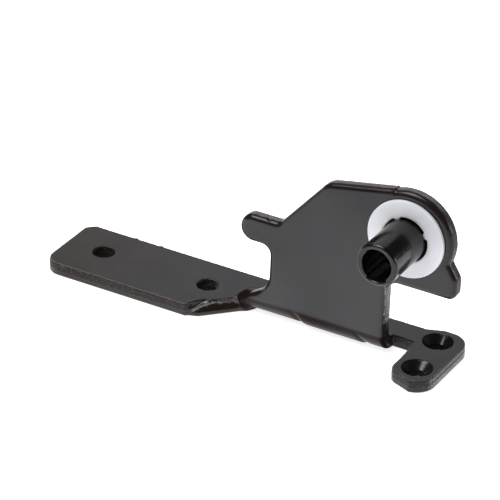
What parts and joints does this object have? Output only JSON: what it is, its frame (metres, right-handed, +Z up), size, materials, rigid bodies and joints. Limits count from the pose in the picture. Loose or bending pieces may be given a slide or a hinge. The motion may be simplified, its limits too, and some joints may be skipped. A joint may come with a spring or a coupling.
{
  "type": "pivot bracket",
  "caption": "Bent black steel pivot bracket with a long drilled tongue, a countersunk foot, a slotted upright plate and a hollow pivot pin that carries a toothed white thrust washer.",
  "frame": {"origin": "on the pivot axis, at the pin's root, where the eye of the other leaf ends, 0.05 mm in front of the washer", "axes": "-Y along the pivot pin towards its free end, -X along the tongue, +X towards the foot, +Z up from the mounting face"},
  "size_m": [0.129, 0.0353, 0.0546],
  "materials": {
    "coated_steel": "black electrophoretic coat over pressed steel, satin",
    "coated_pin": "black electrophoretic coat over turned steel, semi-gloss",
    "nylon": "natural white moulded nylon, satin"
  },
  "bodies": {
    "bracket_body": {"bracket": "coated_steel", "pivot_pin": "coated_pin"},
    "washer_body": {"thrust_washer": "nylon"}
  },
  "joints": [
    {"name": "washer_spin", "type": "hinge", "parent": "bracket_body", "child": "washer_body", "pos_m": [0, 0.00065, 0], "axis": [0, -1, 0], "continuous": true}
  ]
}
